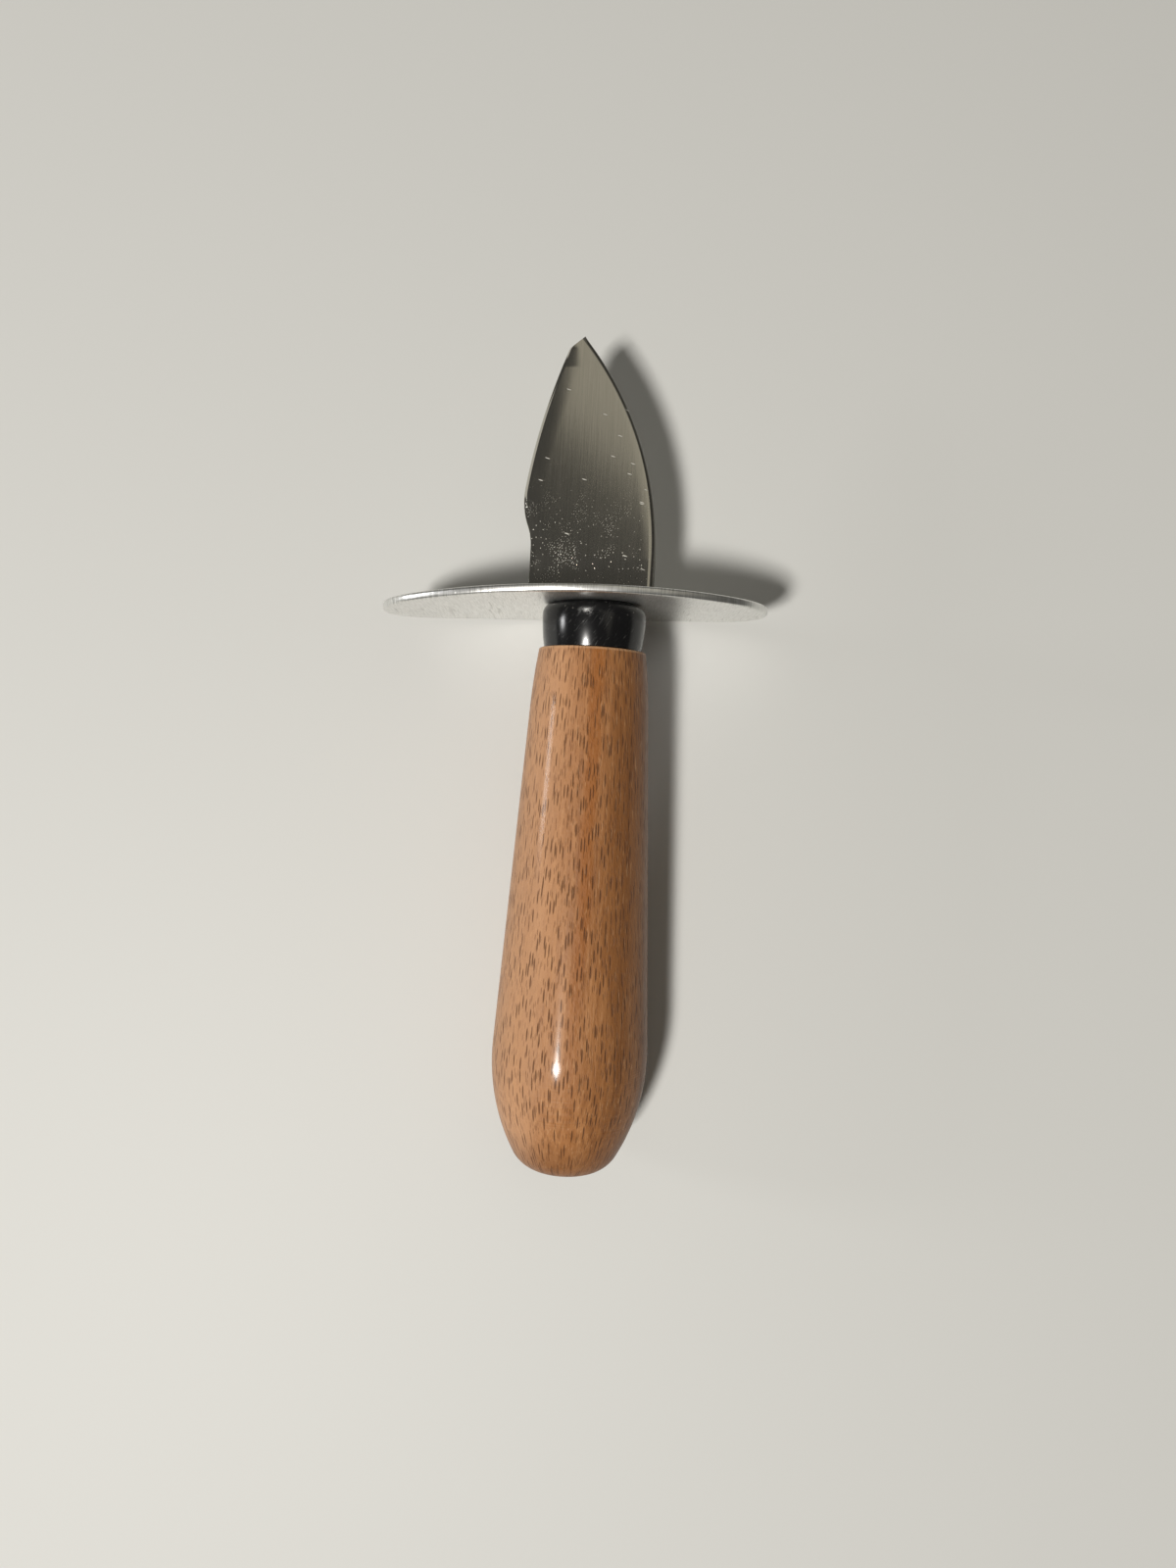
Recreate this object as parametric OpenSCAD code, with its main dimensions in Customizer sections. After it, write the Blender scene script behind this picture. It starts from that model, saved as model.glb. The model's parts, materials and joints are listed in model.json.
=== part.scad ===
// Oyster knife with an oval hand guard, lying on a table.
// Table at z = 0, the tip towards +Y, the guard standing on its lower edge.
// Each piece is drawn along the knife's own axis: x across the blade, y towards the tip,
// z up through the blade's thickness, with y = 0 on the guard's rear face. Then it is laid down.

/* [Blade] */
// Rear face of the guard to the tip
blade_l = 49.8; // [46:0.1:56]
// Knife axis to the straight part of the spine
spine_side = 10.8; // [10:0.1:12]
// Knife axis to the left side beside the guard
ricasso_side = 12.7; // [11.8:0.1:13.2]
// Knife axis to the widest point of the heel
heel_side = 14.4; // [14:0.1:15]
// Guard to the widest point of the heel
heel_l = 19; // [18:0.1:21]
// Radius of the curved spine
spine_r = 62; // [58:1:66]
// Guard to the start of the spine's curve
spine_straight = 8.6; // [6:0.1:11]
// Radius of the cutting edge
edge_r = 130; // [110:1:160]
// Lean of the cutting edge at the heel, degrees
edge_lean = 8; // [6.5:0.1:9]
// Radius of the rounded heel
heel_r = 14; // [11:0.5:16]
// Radius of the hollow between heel and guard
hollow_r = 11; // [9:0.5:14]
// Thickness at the guard
blade_t = 3; // [2.6:0.1:3.6]
// Thickness at the tip
tip_t = 1.3; // [0.9:0.1:2]
// Thickness left on the cutting edge
edge_t = 0.3; // [0.2:0.05:0.6]
// Width of the ground bevel behind the cutting edge
bevel_w = 3.4; // [2.6:0.1:5]
// Radius of the blunt end of the tip
tip_r = 8; // [7:0.5:9]

/* [Tang] */
// Width of the tang
tang_w = 7; // [5:0.1:7.4]
// Thickness of the tang
tang_t = 2.4; // [1.8:0.1:2.6]
// Length of the tang behind the guard
tang_l = 64; // [40:1:72]
// Gap round the tang in the guard and the ferrule
tang_clear = 0.15; // [0.05:0.05:0.4]

/* [Guard] */
// Width of the guard, end to end
guard_w = 71.6; // [66:0.2:76]
// Height of the guard
guard_h = 41; // [38:0.2:44]
// Thickness of the sheet
guard_t = 1.4; // [1:0.1:2]
// Radius of the guard's round ends
guard_end_r = 14.5; // [13:0.1:16]
// Radius of the shallow dish, hollow towards the handle
dish_r = 320; // [220:5:600]
// How far the guard's middle sits to the left of the knife axis
guard_offset = 3.7; // [0:0.1:4]
// How far the guard stands out of square with the axis, degrees
guard_skew = 2.4; // [0:0.1:3]

/* [Ferrule] */
// Diameter of the ferrule at its fullest
ferrule_d = 19.4; // [18.6:0.1:20]
// Guard to the rear end of the ferrule
ferrule_l = 8.6; // [8:0.1:12]
// Radius of the ferrule's crowned side
ferrule_crown_r = 34; // [25:1:80]
// Radius of the round front shoulder
ferrule_shoulder_r = 2.2; // [1:0.1:2.6]
// Thickness of the ferrule's front wall
ferrule_front_wall = 2.2; // [1.6:0.1:3]
// Diameter of the wooden spigot inside the ferrule
spigot_d = 15; // [13:0.1:16]
// Gap between the spigot's end and the ferrule's front wall
spigot_end_gap = 0.3; // [0.1:0.1:0.8]

/* [Handle] */
// Length of the wood, ferrule to butt
handle_l = 97.6; // [90:0.2:110]
// Diameter where the taper would meet the ferrule
handle_front_d = 21; // [20.6:0.1:23]
// Diameter of the belly
belly_d = 29.3; // [27:0.1:32]
// Butt face to the middle of the belly
belly_back = 21.6; // [20:0.1:24]
// Radius of the belly along the handle
belly_r = 38; // [34:0.5:44]
// Radius of the butt's round corner
butt_corner_r = 6.2; // [4:0.1:7]
// Length of the drawn-in front of the handle
ease_l = 11; // [8:0.5:16]
// Radius of the drawn-in front
ease_r = 120; // [100:5:200]
// Softened front edge of the wood
front_lip = 0.4; // [0.2:0.1:0.8]
// Diameter of the tang bore
bore_d = 8.4; // [8:0.1:9]
// Depth of the tang bore past the end of the tang
bore_past_tang = 3; // [1:0.5:6]

/* [Hidden] */
$fn = 96;

blade_colour = [0.72, 0.72, 0.70];
guard_colour = [0.80, 0.80, 0.80];
ferrule_colour = [0.06, 0.06, 0.06];
wood_colour = [0.70, 0.44, 0.25];
adhesive_colour = [0.86, 0.80, 0.62];

past = 1;               // how far a cutting shape runs past what it cuts
arc_steps = 16;         // sides of each round stretch of an outline

function arc(c, r, from, to, n = arc_steps) =
    [for (i = [0:n]) c + r * [cos(from + (to - from) * i / n), sin(from + (to - from) * i / n)]];

// Oval guard: two long arcs and two end arcs, tangent to each other
guard_a = guard_w / 2;
guard_b = guard_h / 2;
end_c = guard_a - guard_end_r;
guard_side_r = (end_c * end_c + guard_b * guard_b - guard_end_r * guard_end_r) / (2 * (guard_b - guard_end_r));
end_turn = atan2(guard_side_r - guard_b, end_c);
guard_rim_sag = guard_b * guard_b / (2 * dish_r);

// Cutting edge: a large arc that leans inward from the heel to the tip
edge_start = [heel_r * (1 - cos(edge_lean)) - heel_side, heel_l + heel_r * sin(edge_lean)];
edge_c = edge_start + edge_r * [cos(edge_lean), -sin(edge_lean)];
spine_c = [spine_side - spine_r, spine_straight];
bevel_slope = (blade_t - edge_t) / 2 / bevel_w;
tip_c = [spine_c[0] + sqrt(spine_r * spine_r - pow(blade_l - spine_straight, 2)), blade_l - tip_r];

// The hollow meets the ricasso and the rounded heel without a corner
heel_drop = heel_side - ricasso_side;
hollow_turn = acos(1 - heel_drop / (heel_r + hollow_r));
hollow_start = heel_l - (heel_r + hollow_r) * sin(hollow_turn);

// Handle outline: radius first, then distance behind the ferrule
belly_at = [belly_d / 2 - belly_r, handle_l - belly_back];
front_at = [handle_front_d / 2, 0];
to_belly = belly_at - front_at;
taper = asin(belly_r / norm(to_belly)) + atan2(to_belly[0], to_belly[1]);
butt_turn = asin((belly_back - butt_corner_r) / (belly_r - butt_corner_r));
butt_corner_at = belly_at + (belly_r - butt_corner_r) * [cos(butt_turn), sin(butt_turn)];
ease_at = front_at + ease_l * [sin(taper), cos(taper)];
ease_c = ease_at - ease_r * [cos(taper), -sin(taper)];
ease_turn = asin((ease_c[1] - front_lip) / ease_r);
lip_r = ease_c[0] + ease_r * cos(ease_turn);

spigot_l = ferrule_l - ferrule_front_wall - spigot_end_gap;
bore_l = tang_l - ferrule_l + bore_past_tang;

// Rest: the guard's lower rear rim and the belly both touch the table
rest_a = guard_b - belly_d / 2 + belly_r;
rest_b = guard_rim_sag - ferrule_l - belly_at[1];
rest_tilt = acos(belly_r / norm([rest_a, rest_b])) + atan2(rest_b, rest_a);
axis_height = guard_b * cos(rest_tilt) + guard_rim_sag * sin(rest_tilt);
butt_end = (ferrule_l + handle_l) * cos(rest_tilt) + butt_corner_at[0] * sin(rest_tilt);
middle = (blade_l * cos(rest_tilt) - butt_end) / 2;

// Lays a piece down from the knife's own axis to its rest on the table
module laid() {
    translate([guard_offset, -middle, axis_height])
        rotate([rest_tilt, 0, 0])
            children();
}

// Turns an upright revolved shape so that its top points to the butt
module backwards() {
    rotate([90, 0, 0]) children();
}

// Puts a shape in the guard's own place, off centre and a little out of square
module at_guard() {
    translate([-guard_offset, 0, 0])
        rotate([0, 0, guard_skew])
            children();
}

// Everything on the handle's side of the dished sheet: depth 0 for its rear face
module behind_dish(depth) {
    reach = guard_w;
    at_guard()
        backwards()
            rotate_extrude()
                intersection() {
                    translate([0, dish_r]) circle(dish_r + depth, $fn = 1440);
                    translate([0, -reach / 2]) square([reach, reach]);
                }
}

// Tang and the slots that it passes through
module tang_bar(clear, from, to) {
    translate([-tang_w / 2 - clear, from, -tang_t / 2 - clear])
        cube([tang_w + 2 * clear, to - from, tang_t + 2 * clear]);
}

// Left side of the blade: straight by the guard, hollow, then the rounded heel
module blade_outline() {
    hollow_at = [-ricasso_side - hollow_r, hollow_start];
    heel_at = [heel_r - heel_side, heel_l];
    right = spine_side + past;
    left = heel_side + past;
    polygon(concat(
        [[right, -past], [-ricasso_side, -past]],
        arc(hollow_at, hollow_r, 0, hollow_turn),
        arc(heel_at, heel_r, 180 + hollow_turn, 180 - edge_lean),
        [[-left, edge_start[1] + past], [-left, tip_c[1]]],
        arc(tip_c, tip_r, 150, 30),
        [[right, tip_c[1]]]
    ));
}

// Flat faces that draw together from the guard to the tip
module blade_taper() {
    wide = 4 * spine_side;
    translate([wide / 2, 0, 0])
        rotate([0, -90, 0])
            linear_extrude(wide)
                polygon([
                    [-blade_t / 2, -past], [blade_t / 2, -past], [blade_t / 2, spine_straight],
                    [tip_t / 2, blade_l + past], [-tip_t / 2, blade_l + past], [-blade_t / 2, spine_straight]
                ]);
}

// Both ground bevels at once: a wide disc that thins to the cutting edge at its rim
module edge_disc() {
    full = edge_r - bevel_w;
    translate([edge_c[0], edge_c[1], 0])
        rotate_extrude($fn = 720)
            polygon([
                [0, -blade_t / 2], [full, -blade_t / 2], [edge_r, -edge_t / 2],
                [edge_r, edge_t / 2], [full, blade_t / 2], [0, blade_t / 2]
            ]);
}

// Rounded spine: straight by the guard, then curving over to the tip
module spine_body() {
    round_r = blade_t / 2;
    intersection() {
        translate([spine_c[0], spine_c[1], 0])
            rotate_extrude($fn = 480) {
                translate([0, -round_r]) square([spine_r - round_r, blade_t]);
                intersection() {
                    translate([spine_r - round_r, 0]) circle(round_r, $fn = 64);
                    translate([spine_r - blade_t, -blade_t]) square(2 * blade_t);
                }
            }
        translate([-spine_r, spine_straight, -blade_t]) cube([2 * spine_r, blade_l, 2 * blade_t]);
    }
    translate([-2 * spine_side, -past, -round_r])
        cube([3 * spine_side - round_r, spine_straight + past, blade_t]);
    translate([spine_side - round_r, spine_straight, 0])
        rotate([90, 0, 0]) cylinder(h = spine_straight + past, r = round_r, $fn = 64);
}

module blade() {
    color(blade_colour) laid() {
        difference() {
            intersection() {
                translate([0, 0, -blade_t]) linear_extrude(2 * blade_t) blade_outline();
                blade_taper();
                edge_disc();
                spine_body();
            }
            behind_dish(guard_t);
        }
        tang_bar(0, -tang_l, spine_straight);
    }
}

module guard_outline() {
    side_c = [0, guard_b - guard_side_r];
    polygon(concat(
        arc([end_c, 0], guard_end_r, -end_turn, end_turn),
        arc(side_c, guard_side_r, end_turn, 180 - end_turn, 2 * arc_steps),
        arc([-end_c, 0], guard_end_r, 180 - end_turn, 180 + end_turn),
        arc(-side_c, guard_side_r, 180 + end_turn, 360 - end_turn, 2 * arc_steps)
    ));
}

module guard() {
    color(guard_colour) laid() {
        difference() {
            intersection() {
                at_guard() backwards() translate([0, 0, -guard_h / 2]) linear_extrude(guard_h) guard_outline();
                behind_dish(guard_t);
            }
            behind_dish(0);
            tang_bar(tang_clear, -guard_h, guard_h);
        }
    }
}

// Side of the ferrule, radius first: crowned, with a round front shoulder
module ferrule_outline() {
    full_r = ferrule_d / 2;
    shoulder_at = [full_r - ferrule_shoulder_r, ferrule_shoulder_r];
    crown_at = [full_r - ferrule_crown_r, ferrule_shoulder_r];
    crown_end = asin((ferrule_l - ferrule_shoulder_r) / ferrule_crown_r);
    polygon(concat(
        [[0, ferrule_l], [0, -past], [shoulder_at[0], -past]],
        arc(shoulder_at, ferrule_shoulder_r, -90, 0),
        arc(crown_at, ferrule_crown_r, 0, crown_end)
    ));
}

module ferrule() {
    color(ferrule_colour) laid() {
        difference() {
            intersection() {
                backwards() rotate_extrude() ferrule_outline();
                behind_dish(0);
            }
            backwards() translate([0, 0, ferrule_front_wall]) cylinder(h = ferrule_l, d = spigot_d);
            tang_bar(tang_clear, -ferrule_l, ferrule_l);
        }
    }
}

// Handle from the ferrule to the butt: eased front, straight taper, belly and round butt
module handle_outline() {
    polygon(concat(
        [[0, 0], [lip_r - front_lip, 0]],
        arc(ease_c, ease_r, -ease_turn, -taper),
        arc(belly_at, belly_r, -taper, butt_turn, 2 * arc_steps),
        arc(butt_corner_at, butt_corner_r, butt_turn, 90),
        [[0, handle_l]]
    ));
}

module handle() {
    color(wood_colour) laid() {
        difference() {
            backwards() {
                translate([0, 0, ferrule_l]) rotate_extrude() handle_outline();
                translate([0, 0, ferrule_l - spigot_l]) cylinder(h = spigot_l + past, d = spigot_d);
            }
            backwards() translate([0, 0, -past]) cylinder(h = ferrule_l + bore_l + past, d = bore_d);
        }
    }
}

// Bedding that fills the bore round the tang
module tang_adhesive() {
    color(adhesive_colour) laid() {
        difference() {
            backwards()
                translate([0, 0, ferrule_l - spigot_l])
                    cylinder(h = spigot_l + bore_l, d = bore_d);
            tang_bar(0, -tang_l, past);
        }
    }
}

blade();
guard();
ferrule();
handle();
tang_adhesive();
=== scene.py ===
import json
from math import acos, asin, atan2, cos, degrees, hypot, pi, radians, sin, sqrt

import bmesh
import bpy
from mathutils import Matrix, Vector


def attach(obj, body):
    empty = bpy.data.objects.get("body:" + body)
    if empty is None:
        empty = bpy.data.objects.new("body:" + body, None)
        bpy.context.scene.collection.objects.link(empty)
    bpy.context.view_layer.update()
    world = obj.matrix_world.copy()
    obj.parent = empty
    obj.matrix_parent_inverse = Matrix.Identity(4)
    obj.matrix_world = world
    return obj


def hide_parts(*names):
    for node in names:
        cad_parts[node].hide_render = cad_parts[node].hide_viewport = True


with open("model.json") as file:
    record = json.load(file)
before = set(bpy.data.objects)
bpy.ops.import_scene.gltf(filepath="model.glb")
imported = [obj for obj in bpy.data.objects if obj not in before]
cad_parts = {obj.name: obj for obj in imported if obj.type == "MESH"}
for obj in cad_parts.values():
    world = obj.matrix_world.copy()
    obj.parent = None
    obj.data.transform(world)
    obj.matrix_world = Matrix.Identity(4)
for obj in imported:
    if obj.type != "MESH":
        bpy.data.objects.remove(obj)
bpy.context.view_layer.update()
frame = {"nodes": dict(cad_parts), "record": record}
mm = 0.001

# The knife's own axis: out of the flat on the butt, rising to the tip
buttMount = next(m for m in frame["record"]["mounts"] if m["name"] == "butt_face")
buttAt = Vector(buttMount["pos_m"])
toTip = -Vector(buttMount["axis"])
restTilt = atan2(toTip.z, toTip.y)
guardToButt = 106.2 * mm
knifePlace = Matrix.Translation(buttAt + toTip * guardToButt) @ Matrix.Rotation(restTilt, 4, "X")
print("frame: knife axis rises", round(degrees(restTilt), 2), "degrees")


# Shader building

class Val:
    # one output socket; arithmetic on it adds Math nodes
    def __init__(self, shader, socket):
        self.shader = shader
        self.socket = socket

    def math(self, operation, a, b):
        return self.shader.node("ShaderNodeMath", {"operation": operation}, {0: a, 1: b})

    def __add__(self, other):
        return self.math("ADD", self, other)

    def __radd__(self, other):
        return self.math("ADD", other, self)

    def __sub__(self, other):
        return self.math("SUBTRACT", self, other)

    def __rsub__(self, other):
        return self.math("SUBTRACT", other, self)

    def __mul__(self, other):
        return self.math("MULTIPLY", self, other)

    def __rmul__(self, other):
        return self.math("MULTIPLY", other, self)


class Shader:
    # one material and the nodes in it
    def __init__(self, name):
        self.material = bpy.data.materials.new(name)
        self.material.use_nodes = True
        self.tree = self.material.node_tree
        self.surface = self.tree.nodes["Principled BSDF"]

    def node(self, kind, settings=None, inputs=None, output=0):
        made = self.tree.nodes.new(kind)
        for key, value in (settings or {}).items():
            if key == "stops":
                ramp = made.color_ramp
                for i, (at, colour) in enumerate(value):
                    stop = ramp.elements[i] if i < 2 else ramp.elements.new(at)
                    stop.position = at
                    stop.color = (*colour, 1)
            else:
                setattr(made, key, value)
        for key, value in (inputs or {}).items():
            self.put(made.inputs[key], value)
        return Val(self, made.outputs[output])

    def put(self, socket, value):
        if isinstance(value, Val):
            self.tree.links.new(value.socket, socket)
        elif isinstance(value, tuple) and len(value) == 3 and socket.type == "RGBA":
            socket.default_value = (*value, 1)
        else:
            socket.default_value = value

    def coords(self, scale=(1, 1, 1), turn=None, shift=(0, 0, 0)):
        # object coordinates turned to the knife's own axis, then to the pattern's, then stretched
        start = self.node("ShaderNodeTexCoord", None, None, 3)
        at = self.node("ShaderNodeMapping", {"vector_type": "TEXTURE"}, {
            "Vector": start, "Location": tuple(knifePlace.translation), "Rotation": (restTilt, 0, 0)})
        if turn:
            at = self.node("ShaderNodeMapping", None, {"Vector": at, "Rotation": (0, 0, turn)})
        return self.node("ShaderNodeMapping", None, {"Vector": at, "Location": shift, "Scale": scale})

    def noise(self, at, scale, detail=2, roughness=0.5, distortion=0):
        return self.node("ShaderNodeTexNoise", None, {
            "Vector": at, "Scale": scale, "Detail": detail,
            "Roughness": roughness, "Distortion": distortion})

    def spots(self, at, scale, randomness=1):
        return self.node("ShaderNodeTexVoronoi", None, {
            "Vector": at, "Scale": scale, "Randomness": randomness})

    def step(self, value, low, high, bottom=0, top=1):
        return self.node("ShaderNodeMapRange", {"interpolation_type": "SMOOTHSTEP"}, {
            "Value": value, "From Min": low, "From Max": high, "To Min": bottom, "To Max": top})

    def mix(self, factor, first, second, blend="MIX"):
        return self.node("ShaderNodeMix", {"data_type": "RGBA", "blend_type": blend}, {
            0: factor, 6: first, 7: second}, 2)

    def pores(self, around, scale, radius, soft, shift, rarity):
        # short dashes on a turned surface: cells on the way round it and on its length
        across, along, up = self.axes(self.coords())
        turn = across.math("ARCTAN2", across, up) * around
        drift = self.noise(self.coords(scale=(60, 25, 60)), 1, 1) * 0.6
        spread = self.node("ShaderNodeCombineXYZ", None, {
            0: turn * scale[0] + shift[0] + drift, 1: along * scale[1] + shift[1]})
        cell = self.node("ShaderNodeTexVoronoi", {"voronoi_dimensions": "2D"}, {
            "Vector": spread, "Scale": 1.0, "Randomness": 1.0})
        chance = self.axes(Val(self, cell.socket.node.outputs[1]))[0]
        return self.step(cell, radius, radius - soft) * self.step(chance, rarity, rarity + 0.3, 0.25, 1)

    def marks(self, scale, turn, radius, soft, rarity):
        # small marks on the flat face, stretched by their scale; rarity leaves most cells empty
        at = self.coords(scale=(scale[0], scale[1], 0), turn=turn, shift=(7.3, 3.1, 0))
        settings = {"voronoi_dimensions": "2D"}
        cell = self.node("ShaderNodeTexVoronoi", settings, {"Vector": at, "Scale": 1.0})
        chance = self.axes(Val(self, cell.socket.node.outputs[1]))[0]
        return self.step(cell, radius, radius - soft) * self.step(chance, rarity, rarity + 0.01)

    def axes(self, at):
        split = self.node("ShaderNodeSeparateXYZ", None, {0: at})
        outputs = split.socket.node.outputs
        return [Val(self, outputs[i]) for i in range(3)]

    def bump(self, height, distance, strength=1, under=None):
        inputs = {"Height": height, "Distance": distance, "Strength": strength}
        if under:
            inputs["Normal"] = under
        return self.node("ShaderNodeBump", None, inputs)

    def finish(self, **values):
        for key, value in values.items():
            self.put(self.surface.inputs[key.replace("_", " ")], value)
        return self.material


# Mesh building

def newPiece(name, bm, material, smoothAngle=35):
    bmesh.ops.remove_doubles(bm, verts=bm.verts, dist=0.002 * mm)
    bmesh.ops.recalc_face_normals(bm, faces=bm.faces)
    mesh = bpy.data.meshes.new(name)
    bm.to_mesh(mesh)
    bm.free()
    piece = bpy.data.objects.new(name, mesh)
    bpy.context.scene.collection.objects.link(piece)
    mesh.materials.append(material)
    mesh.shade_smooth()
    mesh.set_sharp_from_angle(angle=radians(smoothAngle))
    return piece


def dress(piece, slotName, *nodes):
    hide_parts(*nodes)
    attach(piece, "root")


def drawLine(bm, vert, point):
    # a straight stretch of an outline in the (radius, along) plane
    grown = bmesh.ops.extrude_vert_indiv(bm, verts=[vert])["verts"][0]
    grown.co = (point[0], point[1], 0)
    return grown


def drawArc(bm, vert, centre, turn, steps):
    # a round stretch: the last vertex spun about the arc's centre
    spun = bmesh.ops.spin(bm, geom=[vert], cent=(centre[0], centre[1], 0), axis=(0, 0, 1),
                          angle=turn, steps=steps, use_duplicate=False)
    return spun["geom_last"][0]


def turnOutline(bm, steps):
    # the outline turned once round the knife's axis
    bmesh.ops.spin(bm, geom=bm.verts[:] + bm.edges[:], cent=(0, 0, 0), axis=(0, 1, 0),
                   angle=2 * pi, steps=steps, use_merge=True, use_duplicate=False)
    bmesh.ops.remove_doubles(bm, verts=bm.verts, dist=0.001 * mm)


# Handle

handle = {
    "frontAt": -8.6 * mm,          # front of the wood, behind the guard
    "length": 97.6 * mm,
    "frontRadius": 10.5 * mm,      # where the taper would meet the ferrule
    "bellyRadius": 14.65 * mm,
    "bellyBack": 21.6 * mm,
    "bellyArc": 38 * mm,
    "cornerArc": 6.2 * mm,
    "easeLength": 11 * mm,
    "easeArc": 120 * mm,
    "lip": 0.4 * mm,
    "spigotRadius": 7.5 * mm,
    "spigotLength": 6.1 * mm,
    "boreRadius": 4.2 * mm,
    "boreLength": 58.4 * mm,
    "poresAt": 13.5 * mm,          # radius on which the pores are laid out
    "taperSteps": 24,
    "turnSteps": 160,
}


def beechMaterial():
    s = Shader("lacquered beech")
    across, along = s.axes(s.coords())[:2]
    # slow changes of tone along the turned blank, then the fibres
    tone = s.noise(s.coords(scale=(150, 16, 150)), 1, 3, 0.55)
    fibre = s.noise(s.coords(scale=(1500, 70, 1500), shift=(3.1, 0.4, 1.7)), 1, 4, 0.62)
    base = s.node("ShaderNodeValToRGB", {"stops": [
        (0.32, (0.190, 0.068, 0.018)), (0.48, (0.335, 0.138, 0.043)), (0.68, (0.480, 0.225, 0.088))]},
        {0: tone * 0.5 + fibre * 0.5})
    # painted sheen makes the left of the blank paler and pinker, painted shade makes the right browner
    side = across + s.noise(s.coords(scale=(90, 9, 90), shift=(9, 4, 2)), 1, 2) * 0.008 - 0.004
    colour = s.mix(s.step(side, -0.0005, -0.0085) * 0.60, base, (0.56, 0.315, 0.175))
    # painted shade: the right of the blank turns browner
    colour = s.mix(s.step(side, 0.002, 0.0095) * 0.55, colour, (0.175, 0.066, 0.017))
    # amber streak that wanders along the top
    wander = s.noise(s.coords(scale=(1, 30, 1), shift=(0.5, 0, 0)), 1, 2) - 0.5
    streakAt = across + along * -0.015 + wander * 0.0035 - 0.0016
    streak = s.step(streakAt * streakAt, 0.0000028, 0, 0, 0.8)
    colour = s.mix(streak * s.step(along, -0.098, -0.05, 0.25, 1), colour, (0.300, 0.098, 0.014))
    # short dark pores that run with the grain
    pore = s.pores(handle["poresAt"], (1500, 155), 0.235, 0.10, (0.31, 0.13), 0.15)
    small = s.pores(handle["poresAt"], (2500, 330), 0.27, 0.14, (0.77, 0.41), 0.3)
    colour = s.mix(pore * 0.80, colour, (0.080, 0.026, 0.007))
    colour = s.mix(small * 0.50, colour, (0.135, 0.047, 0.013))
    # pale flakes between the pores
    flake = s.noise(s.coords(scale=(2600, 260, 2600), shift=(7.7, 5.2, 3.3)), 1, 2, 0.6)
    colour = s.mix(s.step(flake, 0.58, 0.72) * 0.35, colour, (0.60, 0.335, 0.165))
    # bare sanded wood at the seam with the ferrule, painted shade darkening the wood towards the butt
    colour = s.mix(s.step(along, -0.00925, -0.0088) * 0.55, colour, (0.62, 0.37, 0.20))
    # painted shade towards the butt
    colour = s.mix(s.step(along, -0.0955, -0.1040) * 0.55, colour, (0.150, 0.054, 0.014))
    # lathe rings in the lacquer near the butt
    rings = s.noise(s.coords(scale=(25, 1500, 25), shift=(0, 0.2, 0)), 1, 2, 0.6)
    ringHere = s.step(along, -0.080, -0.088) * s.step(along, -0.101, -0.094)
    wrinkle = s.noise(s.coords(scale=(1500, 520, 1500), shift=(2, 8, 5)), 1, 3, 0.6)
    height = wrinkle * 0.8 + rings * ringHere * 0.7 - pore * 0.6 - small * 0.3
    rough = 0.50 + fibre * 0.14 + pore * 0.15
    s.surface.inputs["Coat Weight"].default_value = 0.22
    s.surface.inputs["Coat Roughness"].default_value = 0.13
    s.surface.inputs["Specular IOR Level"].default_value = 0.35
    return s.finish(Base_Color=colour, Roughness=rough, Normal=s.bump(height, 0.00022, 0.8))


def buildHandle():
    h = handle
    bellyAt = (h["bellyRadius"] - h["bellyArc"], -(h["length"] - h["bellyBack"]))
    toBelly = hypot(bellyAt[0] - h["frontRadius"], bellyAt[1])
    taper = asin(h["bellyArc"] / toBelly) + atan2(bellyAt[0] - h["frontRadius"], -bellyAt[1])
    buttTurn = asin((h["bellyBack"] - h["cornerArc"]) / (h["bellyArc"] - h["cornerArc"]))
    inset = h["bellyArc"] - h["cornerArc"]
    cornerAt = (bellyAt[0] + inset * cos(buttTurn), bellyAt[1] - inset * sin(buttTurn))
    easeAt = (h["frontRadius"] + h["easeLength"] * sin(taper) - h["easeArc"] * cos(taper),
              -h["easeLength"] * cos(taper) - h["easeArc"] * sin(taper))
    easeTurn = asin((-easeAt[1] - h["lip"]) / h["easeArc"])
    lipRadius = easeAt[0] + h["easeArc"] * cos(easeTurn)

    bm = bmesh.new()
    vert = bm.verts.new((0, -h["boreLength"], 0))
    vert = drawLine(bm, vert, (h["boreRadius"], -h["boreLength"]))
    vert = drawLine(bm, vert, (h["boreRadius"], h["spigotLength"]))
    vert = drawLine(bm, vert, (h["spigotRadius"], h["spigotLength"]))
    vert = drawLine(bm, vert, (h["spigotRadius"], 0))
    vert = drawLine(bm, vert, (lipRadius - h["lip"], 0))
    vert = drawArc(bm, vert, (lipRadius - h["lip"], -h["lip"]), -(pi / 2 - easeTurn), 4)
    vert = drawArc(bm, vert, easeAt, -(easeTurn - taper), 10)
    taperFrom = Vector((easeAt[0] + h["easeArc"] * cos(taper), easeAt[1] + h["easeArc"] * sin(taper)))
    taperTo = Vector((bellyAt[0] + h["bellyArc"] * cos(taper), bellyAt[1] + h["bellyArc"] * sin(taper)))
    for i in range(1, h["taperSteps"] + 1):
        vert = drawLine(bm, vert, taperFrom.lerp(taperTo, i / h["taperSteps"]))
    vert = drawArc(bm, vert, bellyAt, -(taper + buttTurn), 26)
    vert = drawArc(bm, vert, cornerAt, -(pi / 2 - buttTurn), 14)
    drawLine(bm, vert, (0, -h["length"]))
    turnOutline(bm, h["turnSteps"])
    bmesh.ops.translate(bm, verts=bm.verts, vec=(0, h["frontAt"], 0))
    bmesh.ops.transform(bm, matrix=knifePlace, verts=bm.verts)
    piece = newPiece("turned_handle", bm, beechMaterial(), 40)
    dress(piece, "handle_wood", "handle")
    print("handle: turned")


# Ferrule

ferrule = {
    "smoothAngle": 32,
}


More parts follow.
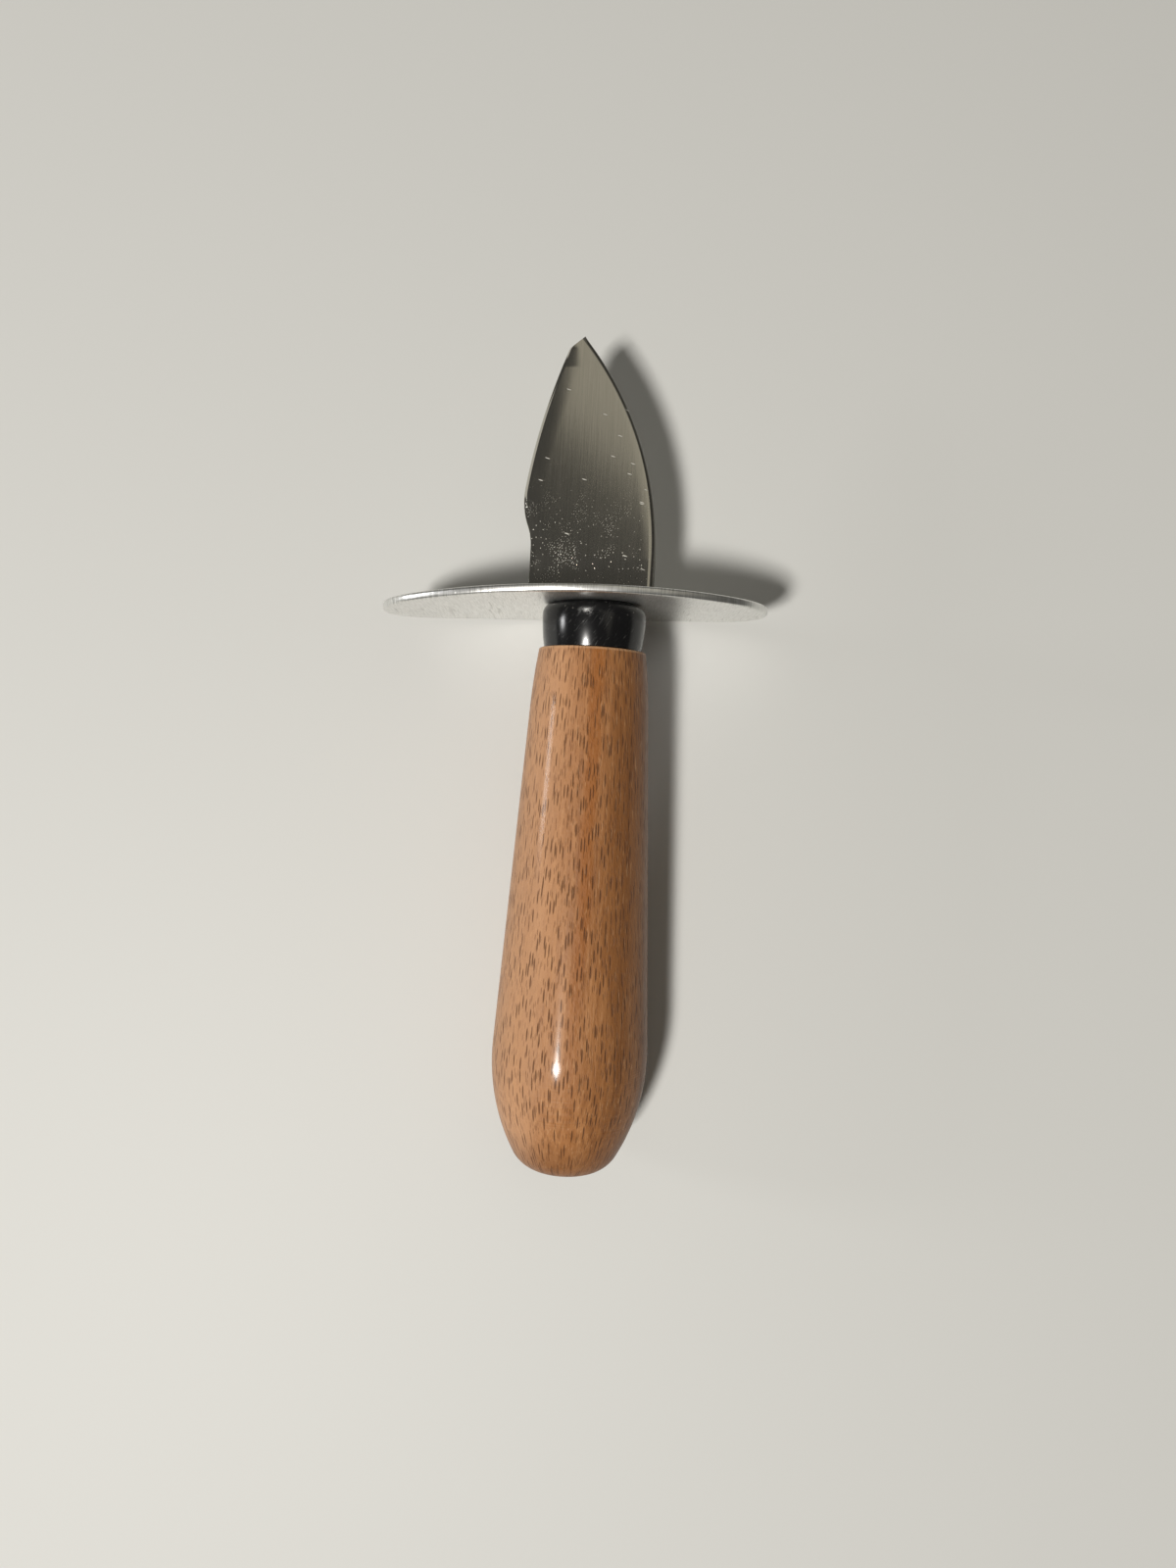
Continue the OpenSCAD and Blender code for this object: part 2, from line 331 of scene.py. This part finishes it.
def ferruleMaterial():
    s = Shader("black moulded plastic")
    along = s.axes(s.coords())[1]
    # fine polishing swirls that lean round the cap
    swirl = s.noise(s.coords(scale=(1500, 260, 600), turn=0.5), 1, 3, 0.65, 0.25)
    swirlMask = s.step(swirl, 0.55, 0.74)
    hair = s.noise(s.coords(scale=(3400, 420, 900), turn=0.6, shift=(2.1, 0.3, 5)), 1, 2, 0.6, 0.2)
    hairMask = s.step(hair, 0.60, 0.72)
    dust = s.spots(s.coords(shift=(0.3, 0.1, 0.2)), 900)
    dustMask = s.step(dust, 0.16, 0.08) * s.step(along, -0.005, -0.001)
    colour = s.mix(swirlMask * 0.20, (0.006, 0.006, 0.0065), (0.060, 0.060, 0.058))
    colour = s.mix(hairMask * 0.22, colour, (0.11, 0.11, 0.10))
    colour = s.mix(dustMask * 0.35, colour, (0.30, 0.29, 0.26))
    cloud = s.noise(s.coords(scale=(200, 200, 200)), 1, 2)
    ripple = s.noise(s.coords(scale=(180, 180, 180)), 1, 2)
    rough = 0.14 + swirlMask * 0.16 + hairMask * 0.12 + cloud * 0.06
    bumpNode = s.bump(ripple - hairMask * 0.05, 0.00008, 0.35)
    return s.finish(Base_Color=colour, Roughness=rough, Normal=bumpNode)


def buildFerrule():
    # a copy of the cap's own solid, whose loose triangles newPiece joins into one skin
    bm = bmesh.new()
    bm.from_mesh(frame["nodes"]["ferrule"].data)
    piece = newPiece("ferrule_cap", bm, ferruleMaterial(), ferrule["smoothAngle"])
    dress(piece, "ferrule_plastic", "ferrule")
    print("ferrule: skinned")


# Guard

guard = {
    "halfWidth": 35.8 * mm,
    "halfHeight": 20.5 * mm,
    "endArc": 14.5 * mm,
    "thickness": 1.4 * mm,
    "dishArc": 320 * mm,
    "offset": 3.7 * mm,
    "skew": radians(2.4),
    "rimRound": 0.42 * mm,
    "rimAngle": radians(60),       # edges sharper than this are rounded
    "slotHalfWidth": 3.65 * mm,
    "slotHalfHeight": 1.35 * mm,
    "ringShares": (0, 0.30, 0.55, 0.75, 0.9, 1.0),
    "steps": 144,
}


def ovalRadius(turn):
    # distance from the middle of the guard to its rim: two long arcs and two end arcs
    g = guard
    endAt = g["halfWidth"] - g["endArc"]
    sideArc = endAt ** 2 + g["halfHeight"] ** 2 - g["endArc"] ** 2
    sideArc /= 2 * (g["halfHeight"] - g["endArc"])
    sideDrop = sideArc - g["halfHeight"]
    c, t = abs(cos(turn)), abs(sin(turn))
    lean = atan2(sideDrop, endAt)
    joinTurn = atan2(g["endArc"] * sin(lean), endAt + g["endArc"] * cos(lean))
    if atan2(t, c) < joinTurn:
        return endAt * c + sqrt(g["endArc"] ** 2 - (endAt * t) ** 2)
    return -sideDrop * t + sqrt(sideArc ** 2 - (sideDrop * c) ** 2)


def guardMaterial():
    s = Shader("brushed guard steel")
    # upright brush lines, a few of them deep
    brush = s.noise(s.coords(scale=(5200, 300, 260)), 1, 4, 0.62)
    deep = s.noise(s.coords(scale=(2300, 300, 110), shift=(1.7, 0, 2.3)), 1, 2, 0.6)
    deepMask = s.step(deep, 0.60, 0.70)
    cloud = s.noise(s.coords(scale=(120, 120, 160)), 1, 3, 0.55)
    colour = s.mix(s.step(brush, 0.35, 0.65), (0.70, 0.70, 0.675), (0.90, 0.90, 0.88))
    colour = s.mix(deepMask * 0.5, colour, (0.46, 0.46, 0.44))
    rough = 0.20 + brush * 0.16 + cloud * 0.10 + deepMask * 0.10
    height = brush * 0.5 - deepMask * 0.4
    wave = s.bump(s.noise(s.coords(scale=(70, 70, 50)), 1, 1), 0.0009, 0.35)
    bumpNode = s.bump(height, 0.00005, 0.45, wave)
    return s.finish(Base_Color=colour, Roughness=rough, Normal=bumpNode, Metallic=1.0)


def buildGuard():
    g = guard
    bm = bmesh.new()
    loops = []
    for share in g["ringShares"]:
        ring = bmesh.ops.create_circle(bm, cap_ends=False, segments=g["steps"], radius=1)["verts"]
        for vert in ring:
            turn = atan2(vert.co.y, vert.co.x)
            rim = ovalRadius(turn)
            # the slot's outline, a rounded oblong, blends out to the rim
            slot = min(g["slotHalfWidth"] / max(abs(cos(turn)), 1e-6),
                       g["slotHalfHeight"] / max(abs(sin(turn)), 1e-6))
            slotAt = Vector((slot * cos(turn) + g["offset"], slot * sin(turn)))
            rimAt = Vector((rim * cos(turn), rim * sin(turn)))
            spot = slotAt.lerp(rimAt, share)
            fall = spot.length_squared / (2 * g["dishArc"])
            vert.co = (spot.x, -fall, spot.y)
        loops.append(ring)
    bm.edges.ensure_lookup_table()
    for inner, outer in zip(loops, loops[1:]):
        rims = [e for e in bm.edges if all(v in set(inner) for v in e.verts)]
        rims += [e for e in bm.edges if all(v in set(outer) for v in e.verts)]
        bmesh.ops.bridge_loops(bm, edges=rims)
    bmesh.ops.recalc_face_normals(bm, faces=bm.faces)
    front = bm.faces[:]
    if sum(f.normal.y for f in front) > 0:
        bmesh.ops.reverse_faces(bm, faces=front)
    bmesh.ops.solidify(bm, geom=front, thickness=g["thickness"])
    rimEdges = [e for e in bm.edges if len(e.link_faces) == 2 and e.calc_face_angle() > g["rimAngle"]]
    bmesh.ops.bevel(bm, geom=rimEdges, offset=g["rimRound"], offset_type="OFFSET", segments=4,
                    profile=0.5, affect="EDGES", material=-1)
    bmesh.ops.rotate(bm, verts=bm.verts, cent=(0, 0, 0), matrix=Matrix.Rotation(g["skew"], 3, "Z"))
    bmesh.ops.translate(bm, verts=bm.verts, vec=(-g["offset"], 0, 0))
    bmesh.ops.transform(bm, matrix=knifePlace, verts=bm.verts)
    piece = newPiece("hand_guard", bm, guardMaterial(), 50)
    dress(piece, "guard_steel", "guard")
    print("guard: dished and rounded")


# Blade

blade = {
    "length": 49.5 * mm,
    "halfThick": 1.5 * mm,
    "tipHalfThick": 0.66 * mm,
    "spineSide": 10.8 * mm,
    "spineStraight": 8.6 * mm,
    "spineArc": 62 * mm,
    "ricassoSide": 12.7 * mm,
    "heelSide": 14.4 * mm,
    "heelAlong": 19 * mm,
    "heelArc": 14 * mm,
    "hollowArc": 11 * mm,
    "edgeArc": 118 * mm,
    "edgeLean": radians(8),
    "tipSlant": 1.36,              # how steeply the short end cuts back to the edge
    "tipRound": 0.5 * mm,
    "tipFrom": 46 * mm,
    "tipTo": 47 * mm,
    "rollWidth": 3.6 * mm,         # where the face starts to fall to the edge
    "rollDepth": 0.34 * mm,
    "facet": 0.55 * mm,
    "facetSoft": 0.05 * mm,
    "heelFacet": 0.8 * mm,
    "heelFrom": 13 * mm,           # the thick edge by the guard thins out between these
    "heelTo": 23 * mm,
    "edgeHalf": 0.15 * mm,
    "ricassoHalf": 1.05 * mm,
    "edgeRound": 0.10 * mm,
    "spineRound": 1.45 * mm,
    "spineRoundTip": 0.64 * mm,
    "spineFrom": 15 * mm,          # and the spine's rounding narrows between these
    "spineTo": 34 * mm,
    "shoulder": 1.3 * mm,          # where the face goes behind the guard
    "rows": 190,
    "rowBias": 1.8,                # rows lie closer towards the tip
    "dishRows": 12,                # one part in this many of the rows follows the dish
    "tang": (7 * mm, 67 * mm, 2.4 * mm),     # width, length, thickness
    "tangEnd": -64 * mm,
}


def clamp(value, low=0.0, high=1.0):
    return max(low, min(high, value))


def smooth(value, low, high):
    part = clamp((value - low) / (high - low))
    return part * part * (3 - 2 * part)


def bladeLeft(along):
    # the cutting side: ricasso, hollow, rounded heel, long edge and tip
    b = blade
    reach = b["heelArc"] + b["hollowArc"]
    turn = acos(1 - (b["heelSide"] - b["ricassoSide"]) / reach)
    hollowAt = b["heelAlong"] - reach * sin(turn)
    heelStart = hollowAt + b["hollowArc"] * sin(turn)
    edgeStart = b["heelAlong"] + b["heelArc"] * sin(b["edgeLean"])
    if along < hollowAt:
        return -b["ricassoSide"]
    if along < heelStart:
        return -b["ricassoSide"] - b["hollowArc"] + sqrt(b["hollowArc"] ** 2 - (along - hollowAt) ** 2)
    heelX = b["heelArc"] - b["heelSide"]
    if along < edgeStart:
        return heelX - sqrt(b["heelArc"] ** 2 - (along - b["heelAlong"]) ** 2)
    edgeX = heelX + (b["edgeArc"] - b["heelArc"]) * cos(b["edgeLean"])
    edgeY = b["heelAlong"] - (b["edgeArc"] - b["heelArc"]) * sin(b["edgeLean"])
    side = edgeX - sqrt(b["edgeArc"] ** 2 - (along - edgeY) ** 2)
    # the short slanted end, rounded into the edge
    end = bladeRight(b["length"]) - b["tipSlant"] * (b["length"] - along)
    gap = clamp((end - side) / b["tipRound"], -1, 1)
    blend = b["tipRound"] * 0.25 * (1 - abs(gap)) ** 2
    return max(side, end) + blend * smooth(along, b["tipFrom"], b["tipTo"])


def bladeRight(along):
    b = blade
    past = max(along - b["spineStraight"], 0)
    return b["spineSide"] - b["spineArc"] + sqrt(b["spineArc"] ** 2 - past ** 2)


def leanOf(side, along):
    # how far an outline leans from the knife's axis there
    step = 0.02 * mm
    low, high = along - step, min(along + step, blade["length"])
    return cos(atan2(side(high) - side(low), high - low))


def bladeColumns():
    # shares of the width: left band, flat, spine band
    left = [0, 0.004, 0.012, 0.022, 0.036, 0.06, 0.10, 0.125, 0.145, 0.165, 0.19, 0.23, 0.29,
            0.37, 0.46, 0.56, 0.67, 0.78, 0.89, 1.0]
    return ([("left", f) for f in left] + [("flat", i / 12) for i in range(1, 12)]
            + [("spine", 1 - sin(radians(6 * i))) for i in range(0, 16)])


def buildBlade():
    b = blade
    columns = bladeColumns()
    bm = bmesh.new()
    bmesh.ops.create_grid(bm, x_segments=len(columns) - 1, y_segments=b["rows"], size=0.5)
    fromSpineLayer = bm.verts.layers.float.new("fromSpine")
    for vert in bm.verts:
        kind, share = columns[round((vert.co.x + 0.5) * (len(columns) - 1))]
        row = vert.co.y + 0.5
        along = b["shoulder"] + (b["length"] - b["shoulder"]) * (1 - (1 - row) ** b["rowBias"])
        left, right = bladeLeft(along), bladeRight(along)
        width = max(right - left, 0)
        leftLean, rightLean = leanOf(bladeLeft, along), leanOf(bladeRight, along)
        leftBand = min(b["rollWidth"] / leftLean, 0.45 * width)
        narrowed = smooth(along, b["spineFrom"], b["spineTo"])
        spineWide = b["spineRound"] + (b["spineRoundTip"] - b["spineRound"]) * narrowed
        spineBand = min(spineWide / rightLean, 0.3 * width)
        if kind == "left":
            across = left + share * leftBand
        elif kind == "flat":
            across = left + leftBand + share * (width - leftBand - spineBand)
        else:
            across = right - share * spineBand
        # half the thickness: taper, then the roll to the edge, its facet and the round spine
        taper = clamp((along - b["spineStraight"]) / (b["length"] - b["spineStraight"]))
        half = b["halfThick"] + (b["tipHalfThick"] - b["halfThick"]) * taper
        shrink = leftBand * leftLean / b["rollWidth"]
        fromEdge = (across - left) * leftLean
        roll = 1 - clamp(fromEdge / (b["rollWidth"] * shrink)) if shrink > 0 else 0
        half -= b["rollDepth"] * shrink * roll ** 2
        heel = 1 - smooth(along, b["heelFrom"], b["heelTo"])
        facet = (b["facet"] + (b["heelFacet"] - b["facet"]) * heel) * shrink
        atEdge = b["edgeHalf"] + (b["ricassoHalf"] - b["edgeHalf"]) * heel
        if facet > 0:
            slope = atEdge + (half - atEdge) * fromEdge / facet
            gap = clamp((slope - half) / b["facetSoft"], -1, 1)
            half = min(half, slope) - b["facetSoft"] * 0.25 * (1 - abs(gap)) ** 2
            corner = clamp(fromEdge / (b["edgeRound"] * shrink))
            half *= sqrt(1 - (1 - corner) ** 2)
        spine = clamp((right - across) / spineBand) if spineBand > 0 else 0
        half *= sqrt(1 - (1 - spine) ** 2)
        # the shoulder row follows the guard's dished front
        off = across + guard["offset"]
        dish = off * guard["skew"] - off ** 2 / (2 * guard["dishArc"])
        along += dish * (1 - clamp(row * b["dishRows"]))
        vert[fromSpineLayer] = (right - across) * rightLean / mm
        vert.co = (across, along, max(half, 0))
    bmesh.ops.mirror(bm, geom=bm.verts[:] + bm.edges[:] + bm.faces[:], matrix=Matrix.Identity(4),
                     merge_dist=0.001 * mm, axis="Z")
    bmesh.ops.remove_doubles(bm, verts=bm.verts, dist=0.003 * mm)
    bmesh.ops.edgeloop_fill(bm, edges=[e for e in bm.edges if e.is_boundary])
    tangPlace = Matrix.Translation((0, b["tangEnd"] + b["tang"][1] / 2, 0))
    bmesh.ops.create_cube(bm, size=1, matrix=tangPlace @ Matrix.Diagonal((*b["tang"], 1)))
    bmesh.ops.transform(bm, matrix=knifePlace, verts=bm.verts)
    piece = newPiece("leaf_blade", bm, bladeMaterial(), 40)
    dress(piece, "blade_steel", "blade")
    print("blade: ground and tapered")


def bladeMaterial():
    s = Shader("polished blade steel")
    along = s.axes(s.coords())[1]
    # faint lines that run along the blade
    polish = s.noise(s.coords(scale=(4600, 110, 300)), 1, 3, 0.6)
    smear = s.noise(s.coords(scale=(90, 60, 90), shift=(0.7, 0.1, 0)), 1, 3, 0.55, 0.3)
    # a few short bright scratches, all on one slant
    scratch = s.marks((260, 1700), 0.25, 0.16, 0.09, 0.955)
    # dust caught on the lower half of the face
    here = s.step(s.noise(s.coords(scale=(230, 230, 230), shift=(3, 1, 0)), 1, 3), 0.42, 0.62)
    lower = s.step(along, 0.030, 0.008, 0.08, 1)
    dust = s.marks((2300, 2600), 0.6, 0.16, 0.09, 0.40) * here * lower
    grit = s.marks((1200, 1100), -0.4, 0.10, 0.05, 0.70) * lower
    colour = s.mix(s.step(polish, 0.3, 0.7), (0.565, 0.545, 0.485), (0.625, 0.600, 0.540))
    # the outer half of the ground spine carries a painted dark reflection and is made dull
    spine = s.node("ShaderNodeAttribute", {"attribute_name": "fromSpine"}, None, 2)
    outer = s.step(spine, 0.80, 0.60)
    # painted reflection: the spine's outer half is painted dark
    colour = s.mix(outer * 0.85, colour, (0.07, 0.07, 0.06))
    colour = s.mix(scratch, colour, (0.90, 0.88, 0.82))
    colour = s.mix(dust * 0.55, colour, (0.70, 0.67, 0.59))
    colour = s.mix(grit * 0.60, colour, (0.72, 0.69, 0.61))
    rough = 0.105 + polish * 0.02 + smear * 0.04
    rough = rough + dust * 0.35 + grit * 0.35 + scratch * 0.3 + outer * 0.25
    bumpNode = s.bump(polish * 0.4 + dust * 1.0 + grit * 1.2 + scratch * 0.8, 0.00002, 0.4)
    return s.finish(Base_Color=colour, Roughness=rough, Normal=bumpNode, Metallic=1.0)


def adhesiveMaterial():
    s = Shader("cured bedding")
    mottle = s.noise(s.coords(scale=(300, 300, 300)), 1, 4, 0.6)
    colour = s.mix(s.step(mottle, 0.3, 0.7), (0.60, 0.52, 0.32), (0.76, 0.69, 0.48))
    rough = 0.45 + mottle * 0.2
    return s.finish(Base_Color=colour, Roughness=rough, Normal=s.bump(mottle, 0.0002, 0.4))


# Stage

studio = {
    "floorColour": (0.62, 0.62, 0.60),
    "floorHalf": 0.9,
    "worldColour": (0.86, 0.84, 0.78),
    "worldStrength": 0.075,
}


def buildStage():
    bm = bmesh.new()
    bmesh.ops.create_grid(bm, x_segments=1, y_segments=1, size=studio["floorHalf"])
    mesh = bpy.data.meshes.new("floor")
    bm.to_mesh(mesh)
    bm.free()
    floor = bpy.data.objects.new("floor", mesh)
    bpy.context.scene.collection.objects.link(floor)
    s = Shader("pale floor")
    mesh.materials.append(s.finish(Base_Color=studio["floorColour"], Roughness=0.6))
    world = bpy.data.worlds.new("studio")
    world.use_nodes = True
    background = world.node_tree.nodes["Background"]
    background.inputs[0].default_value = (*studio["worldColour"], 1)
    background.inputs[1].default_value = studio["worldStrength"]
    bpy.context.scene.world = world
    print("stage: floor and world")


lamps = {
    "key": {"at": (-0.36, -0.42, 1.15), "target": (0, 0, 0.01), "size": (0.16, 0.16),
            "power": 15, "colour": (1, 0.975, 0.93)},
    "side": {"at": (-0.85, 0.05, 0.28), "target": (0, 0, 0.02), "size": (0.14, 0.14),
             "power": 1.1, "colour": (1, 1, 1)},
    # large and dim: what the polished face reflects, its near edge slantwise over the blade
    "wide": {"at": (0.283, 0.682, 1.2), "turn": radians(-37), "size": (2.0, 0.9),
             "power": 2.0, "colour": (1, 0.94, 0.78)},
}


def buildLamps():
    for name, values in lamps.items():
        light = bpy.data.lights.new(name, "AREA")
        light.shape = "RECTANGLE"
        light.size, light.size_y = values["size"]
        light.energy = values["power"]
        light.color = values["colour"]
        lamp = bpy.data.objects.new(name, light)
        bpy.context.scene.collection.objects.link(lamp)
        lamp.location = values["at"]
        if "target" in values:
            aim = Vector(values["target"]) - Vector(values["at"])
            lamp.rotation_euler = aim.to_track_quat("-Z", "Y").to_euler()
        else:
            lamp.rotation_euler = (0, 0, values["turn"])
    print("lamps:", len(lamps))


# Camera: a phone's main lens, nearly straight above the knife

lens = {
    "at": (4.27 * mm, -14.8 * mm, 231.1 * mm),
    "pitch": 0.045,
    "roll": 0.057,
    "focal": 26,
    "frameHeight": 36,
    "nearest": 10 * mm,
}


def buildCamera():
    data = bpy.data.cameras.new("camera")
    data.sensor_width = lens["frameHeight"]
    data.lens = lens["focal"]
    data.clip_start = lens["nearest"]
    camera = bpy.data.objects.new("camera", data)
    bpy.context.scene.collection.objects.link(camera)
    camera.matrix_world = (Matrix.Translation(lens["at"]) @ Matrix.Rotation(lens["pitch"], 4, "X")
                           @ Matrix.Rotation(lens["roll"], 4, "Z"))
    bpy.context.scene.camera = camera
    print("camera: placed")


buildCamera()
buildStage()
buildLamps()
buildHandle()
buildFerrule()
buildGuard()
buildBlade()
bedding = frame["nodes"]["tang_adhesive"]
bedding.data.materials[0] = adhesiveMaterial()
bpy.context.scene.view_settings.view_transform = "Standard"
